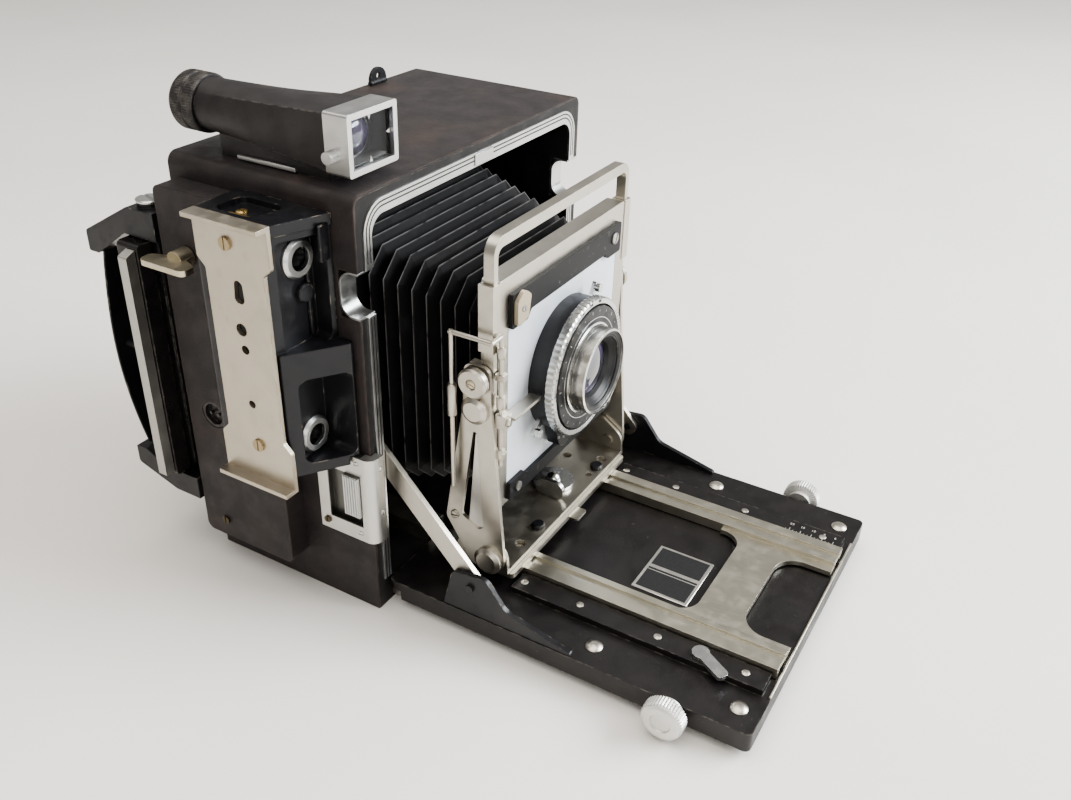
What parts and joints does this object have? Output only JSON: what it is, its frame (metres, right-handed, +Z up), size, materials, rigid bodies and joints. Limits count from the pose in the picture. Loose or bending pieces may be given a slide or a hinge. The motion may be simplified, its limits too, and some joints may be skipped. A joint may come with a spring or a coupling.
{
  "type": "press camera",
  "caption": "Folding-bed press camera with bellows, sliding front standard, between-lens shutter, side rangefinder, tubular and wire finders and a sprung film back.",
  "frame": {"origin": "mouth of the body's tripod socket, in the middle of the bottom face that the camera stands on", "axes": "+Z up; -Y is the way the lens looks; -X is the rangefinder side"},
  "size_m": [0.2345, 0.332, 0.2405],
  "materials": {
    "leather": "grained, worn brown at the edges",
    "case_wood": "black-stained inside",
    "bright_trim": "brushed, with black lines",
    "nickel": "warm satin nickel",
    "chrome": "polished",
    "black_enamel": "semi-gloss, worn at the corners",
    "bed_covering": "black leatherette over wood",
    "black_crackle": "fine crackle",
    "steel": "plain",
    "brass": "dull nickelled brass",
    "knob_metal": "satin, knurled",
    "rail_metal": "champagne satin",
    "board_paint": "pale satin paint",
    "shutter_black": "satin black",
    "glass": "coated",
    "bellows_leather": "thin pleated leather, greyed folds",
    "curtain_cloth": "rubberised silk",
    "black_plastic": "moulded, ribbed",
    "holder_black": "moulded",
    "tan_plate": "nickel worn to brass",
    "slide_metal": "bright strip"
  },
  "bodies": {
    "camera_body": {"body_case": "case_wood", "leather_covering": "leather", "front_trim": "bright_trim", "tripod_socket": "steel", "inner_rails": "rail_metal", "bed_hinge_pin": "steel", "shutter_gear_cover": "leather", "shutter_curtain": "curtain_cloth", "flash_socket": "black_plastic", "rangefinder_housing": "black_enamel", "rangefinder_rings": "chrome", "finder_glasses": "glass", "flash_bracket_plate": "tan_plate", "body_screws": "brass", "release_housing": "bright_trim", "viewfinder_tube": "black_crackle", "viewfinder_frame": "bright_trim", "back_frame": "black_enamel", "spring_brackets": "black_enamel", "panel_springs": "black_enamel", "hand_strap": "leather", "bellows": "bellows_leather"},
    "curtain_winder": {"winding_key": "brass", "upper_roller": "steel"},
    "lower_curtain_roller": {"lower_roller": "steel"},
    "release_button": {"release_slide": "bright_trim"},
    "finder_eyepiece": {"viewfinder_eyepiece": "black_plastic"},
    "rear_peep": {"peep_sight": "black_enamel"},
    "holder": {"film_holder": "holder_black"},
    "dark_slide_sheet": {"dark_slide": "slide_metal"},
    "back_panel": {"focusing_panel": "black_enamel", "ground_glass": "glass"},
    "hood": {"focusing_hood": "leather"},
    "bed": {"bed_plate": "bed_covering", "strut_ears": "black_enamel"},
    "strut_left": {"left_strut": "nickel"},
    "strut_right": {"right_strut": "nickel"},
    "track_lock": {"track_lock_lever": "chrome"},
    "focus_pinion": {"pinion_shaft": "steel", "focus_knobs": "knob_metal"},
    "track": {"focus_track": "rail_metal"},
    "carriage": {"standard_base": "nickel"},
    "shift_lock": {"base_lock_lever": "chrome"},
    "shift": {"shift_plate": "nickel"},
    "arms": {"standard_arms": "nickel", "pivot_bolts": "nickel"},
    "rise_lock_screws": {"rise_locks": "chrome"},
    "lens_standard": {"lens_frame": "nickel", "lens_board": "board_paint", "board_foot": "black_enamel", "shutter_housing": "shutter_black", "lens_barrel": "chrome", "lens_elements": "glass", "shutter_blades": "steel"},
    "board_lock": {"board_slide": "black_enamel"},
    "wire_finder": {"sports_frame": "nickel"},
    "release_rods": {"release_linkage": "chrome"},
    "speed_dial": {"speed_ring": "chrome"},
    "cocking": {"cocking_lever": "chrome"},
    "aperture": {"aperture_lever": "chrome"}
  },
  "joints": [
    {"name": "bed_drop", "type": "hinge", "parent": "camera_body", "child": "bed", "pos_m": [0, -0.0526, 0.0044], "axis": [1, 0, 0], "range_deg": [0, 15], "deforming": ["bellows"]},
    {"name": "left_strut_fold", "type": "hinge", "parent": "bed", "child": "strut_left", "pos_m": [-0.0805, -0.098, 0.03], "axis": [1, 0, 0], "range_deg": [-21, 0.5]},
    {"name": "right_strut_fold", "type": "hinge", "parent": "bed", "child": "strut_right", "pos_m": [0.0805, -0.098, 0.03], "axis": [1, 0, 0], "range_deg": [-21, 0.5]},
    {"name": "focus_slide", "type": "slide", "parent": "bed", "child": "track", "axis": [0, -1, 0], "range_m": [0, 0.045], "deforming": ["bellows"]},
    {"name": "focus_pinion_turn", "type": "hinge", "parent": "bed", "child": "focus_pinion", "pos_m": [0, -0.2, 0.0115], "axis": [1, 0, 0], "range_deg": [-5, 650]},
    {"name": "track_lock_turn", "type": "hinge", "parent": "bed", "child": "track_lock", "pos_m": [-0.056, -0.201, 0.018], "axis": [0, 0, -1], "range_deg": [0, 30]},
    {"name": "standard_slide", "type": "slide", "parent": "track", "child": "carriage", "axis": [0, -1, 0], "range_m": [0, 0.07], "deforming": ["bellows"]},
    {"name": "shift_lock_turn", "type": "hinge", "parent": "carriage", "child": "shift_lock", "pos_m": [0.014, -0.086, 0.026], "axis": [0, 0, 1], "range_deg": [-40, 40]},
    {"name": "lateral_shift", "type": "slide", "parent": "carriage", "child": "shift", "axis": [1, 0, 0], "range_m": [-0.01, 0.01], "deforming": ["bellows"]},
    {"name": "lens_tilt", "type": "hinge", "parent": "shift", "child": "arms", "pos_m": [0, -0.095, 0.031], "axis": [-1, 0, 0], "range_deg": [0, 10], "deforming": ["bellows"]},
    {"name": "rise_lock_turn", "type": "hinge", "parent": "arms", "child": "rise_lock_screws", "pos_m": [-0.066, -0.0886, 0.127], "axis": [1, 0, 0], "range_deg": [-60, 60]},
    {"name": "lens_rise", "type": "slide", "parent": "arms", "child": "lens_standard", "axis": [0, 0, 1], "range_m": [0, 0.019], "deforming": ["bellows"]},
    {"name": "board_lock_slide", "type": "slide", "parent": "lens_standard", "child": "board_lock", "axis": [0, 0, 1], "range_m": [0, 0.004]},
    {"name": "wire_finder_slide", "type": "slide", "parent": "lens_standard", "child": "wire_finder", "axis": [0, 0, 1], "range_m": [-0.012, 0.075]},
    {"name": "release_rod_slide", "type": "slide", "parent": "lens_standard", "child": "release_rods", "axis": [0, 0, -1], "range_m": [-0.0002, 0.003]},
    {"name": "release_press", "type": "slide", "parent": "camera_body", "child": "release_button", "axis": [0, 0, -1], "range_m": [0, 0.0055], "stiffness_N_per_m": 150},
    {"name": "speed_ring_turn", "type": "hinge", "parent": "lens_standard", "child": "speed_dial", "pos_m": [0, -0.108, 0.1098], "axis": [0, -1, 0], "range_deg": [-60, 60]},
    {"name": "cocking_lever_turn", "type": "hinge", "parent": "lens_standard", "child": "cocking", "pos_m": [0, -0.102, 0.1098], "axis": [0, -1, 0], "range_deg": [0, 35]},
    {"name": "aperture_lever_turn", "type": "hinge", "parent": "lens_standard", "child": "aperture", "pos_m": [0, -0.1, 0.1098], "axis": [0, -1, 0], "range_deg": [-18, 4]},
    {"name": "winding_key_turn", "type": "hinge", "parent": "camera_body", "child": "curtain_winder", "pos_m": [-0.112, 0.032, 0.17], "axis": [1, 0, 0], "continuous": true},
    {"name": "lower_roller_turn", "type": "hinge", "parent": "camera_body", "child": "lower_curtain_roller", "pos_m": [0, 0.032, 0.044], "axis": [1, 0, 0], "continuous": true},
    {"name": "eyepiece_turn", "type": "hinge", "parent": "camera_body", "child": "finder_eyepiece", "pos_m": [-0.0755, 0.043, 0.228], "axis": [0, 1, 0], "range_deg": [-135, 135]},
    {"name": "peep_fold", "type": "hinge", "parent": "camera_body", "child": "rear_peep", "pos_m": [0.048, 0.0458, 0.2106], "axis": [1, 0, 0], "range_deg": [0, 88]},
    {"name": "film_holder_slide", "type": "slide", "parent": "camera_body", "child": "holder", "axis": [-1, 0, 0], "range_m": [0, 0.18]},
    {"name": "dark_slide_pull", "type": "slide", "parent": "holder", "child": "dark_slide_sheet", "axis": [-1, 0, 0], "range_m": [0, 0.13]},
    {"name": "back_panel_slide", "type": "slide", "parent": "camera_body", "child": "back_panel", "axis": [0, 1, 0], "range_m": [0, 0.005], "stiffness_N_per_m": 800, "deforming": ["panel_springs"]},
    {"name": "hood_hinge", "type": "hinge", "parent": "back_panel", "child": "hood", "pos_m": [0, 0.0812, 0.1673], "axis": [1, 0, 0], "range_deg": [0, 90]}
  ],
  "couplings": [
    {"joint": "left_strut_fold", "follows": "bed_drop", "ratio": -1.3633},
    {"joint": "right_strut_fold", "follows": "bed_drop", "ratio": -1.3633},
    {"joint": "focus_pinion_turn", "follows": "focus_slide", "rad_per_m": 250},
    {"joint": "release_rod_slide", "follows": "release_press", "ratio": 0.5},
    {"joint": "lower_roller_turn", "follows": "winding_key_turn", "ratio": 1}
  ]
}
